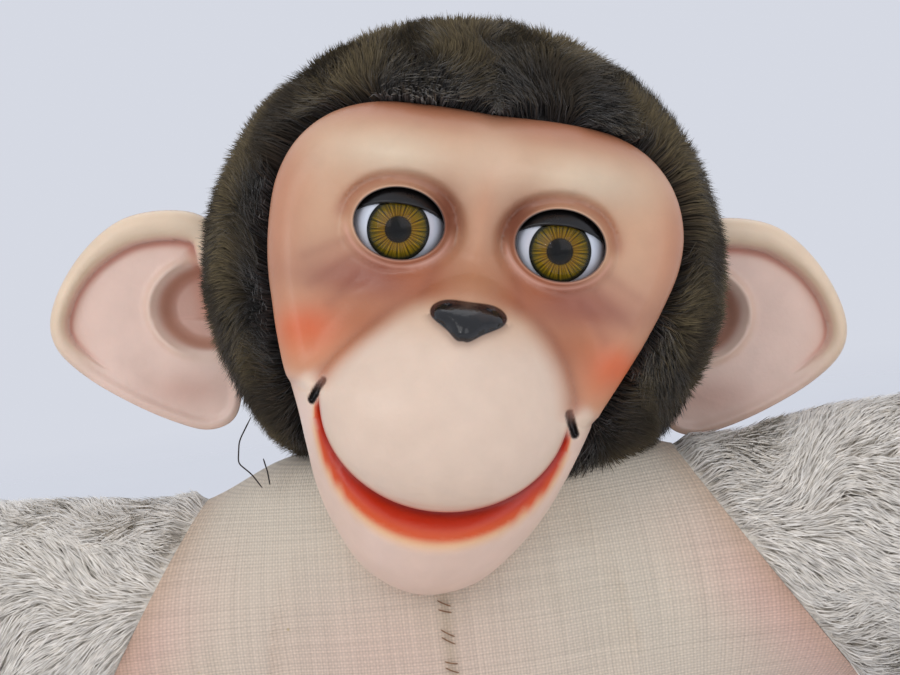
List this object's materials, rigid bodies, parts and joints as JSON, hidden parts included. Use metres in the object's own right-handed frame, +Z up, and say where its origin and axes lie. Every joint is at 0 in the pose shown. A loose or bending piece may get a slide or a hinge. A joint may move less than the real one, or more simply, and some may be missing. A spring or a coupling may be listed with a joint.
{
  "type": "plush chimpanzee doll",
  "caption": "Seated stuffed chimpanzee doll with a vinyl face and ears, weighted sleep eyes, plush hood and limbs that swing at the shoulders and hips.",
  "frame": {"origin": "middle of the flat seat", "axes": "+Z up, -Y the way the doll faces, +X its own left side"},
  "size_m": [0.529, 0.2591, 0.2946],
  "materials": {
    "muslin": "plain ecru weave",
    "arm_plush": "silky grey-white long pile",
    "hood_plush": "dark brown pile with olive tips",
    "face_vinyl": "soft vinyl, sprayed shading",
    "ear_vinyl": "soft vinyl, sprayed shading",
    "limb_vinyl": "soft vinyl, sprayed shading",
    "wadding": "loose cotton wadding",
    "thread": "waxed cotton thread",
    "binding": "cotton tape",
    "eye_white": "polished",
    "iris": "printed amber rays",
    "cornea": "clear",
    "eyelid": "satin black",
    "socket": "moulded",
    "pin_steel": "drawn wire",
    "weight_metal": "cast"
  },
  "bodies": {
    "torso": {"torso_stuffing": "wadding", "seat_panel": "muslin", "back_panel": "muslin", "chest_panel_left": "muslin", "chest_panel_right": "muslin", "centre_seam_stitches": "thread", "neck_seam_binding": "binding"},
    "neck": {"neck_stump": "muslin"},
    "head": {"face_mask": "face_vinyl", "muzzle_pad": "wadding", "head_stuffing": "wadding", "hood_side_left": "hood_plush", "hood_side_right": "hood_plush", "hood_crown_gusset": "hood_plush", "ear_left": "ear_vinyl", "ear_right": "ear_vinyl", "eye_socket_left": "socket", "eye_pin_left": "pin_steel", "eye_socket_right": "socket", "eye_pin_right": "pin_steel"},
    "eye_left": {"eyeball_left": "eye_white", "iris_left": "iris", "cornea_left": "cornea", "eyelid_left": "eyelid", "eye_weight_left": "weight_metal"},
    "arm_left": {"arm_cover_left": "arm_plush", "arm_stuffing_left": "wadding", "wrist_binding_left": "binding", "hand_left": "limb_vinyl"},
    "leg_left": {"leg_cover_left": "arm_plush", "leg_stuffing_left": "wadding", "ankle_binding_left": "binding", "foot_left": "limb_vinyl"},
    "eye_right": {"eyeball_right": "eye_white", "iris_right": "iris", "cornea_right": "cornea", "eyelid_right": "eyelid", "eye_weight_right": "weight_metal"},
    "arm_right": {"arm_cover_right": "arm_plush", "arm_stuffing_right": "wadding", "wrist_binding_right": "binding", "hand_right": "limb_vinyl"},
    "leg_right": {"leg_cover_right": "arm_plush", "leg_stuffing_right": "wadding", "ankle_binding_right": "binding", "foot_right": "limb_vinyl"}
  },
  "joints": [
    {"name": "head_tilt", "type": "hinge", "parent": "torso", "child": "neck", "pos_m": [0, -0.027, 0.183], "axis": [0, 1, 0], "range_deg": [-10, 0]},
    {"name": "head_turn", "type": "hinge", "parent": "neck", "child": "head", "pos_m": [0, -0.027, 0.183], "axis": [0.225, 0, 0.9744], "range_deg": [-25, 15]},
    {"name": "eye_left_roll", "type": "hinge", "parent": "head", "child": "eye_left", "pos_m": [0.03429, -0.06529, 0.23705], "axis": [0.9622, 0.0871, -0.258], "range_deg": [0, 55]},
    {"name": "shoulder_left", "type": "hinge", "parent": "torso", "child": "arm_left", "pos_m": [0.066, -0.027, 0.156], "axis": [0, 1, 0], "range_deg": [-6, 45]},
    {"name": "hip_left", "type": "hinge", "parent": "torso", "child": "leg_left", "pos_m": [0.04, -0.057, 0.03], "axis": [1, 0, 0], "range_deg": [-20, 80]},
    {"name": "eye_right_roll", "type": "hinge", "parent": "head", "child": "eye_right", "pos_m": [0.00042, -0.06836, 0.24613], "axis": [0.9622, 0.0871, -0.258], "range_deg": [0, 55]},
    {"name": "shoulder_right", "type": "hinge", "parent": "torso", "child": "arm_right", "pos_m": [-0.066, -0.027, 0.156], "axis": [0, -1, 0], "range_deg": [-6, 45]},
    {"name": "hip_right", "type": "hinge", "parent": "torso", "child": "leg_right", "pos_m": [-0.04, -0.057, 0.03], "axis": [1, 0, 0], "range_deg": [-20, 80]}
  ],
  "couplings": [
    {"joint": "eye_right_roll", "follows": "eye_left_roll", "ratio": 1}
  ]
}
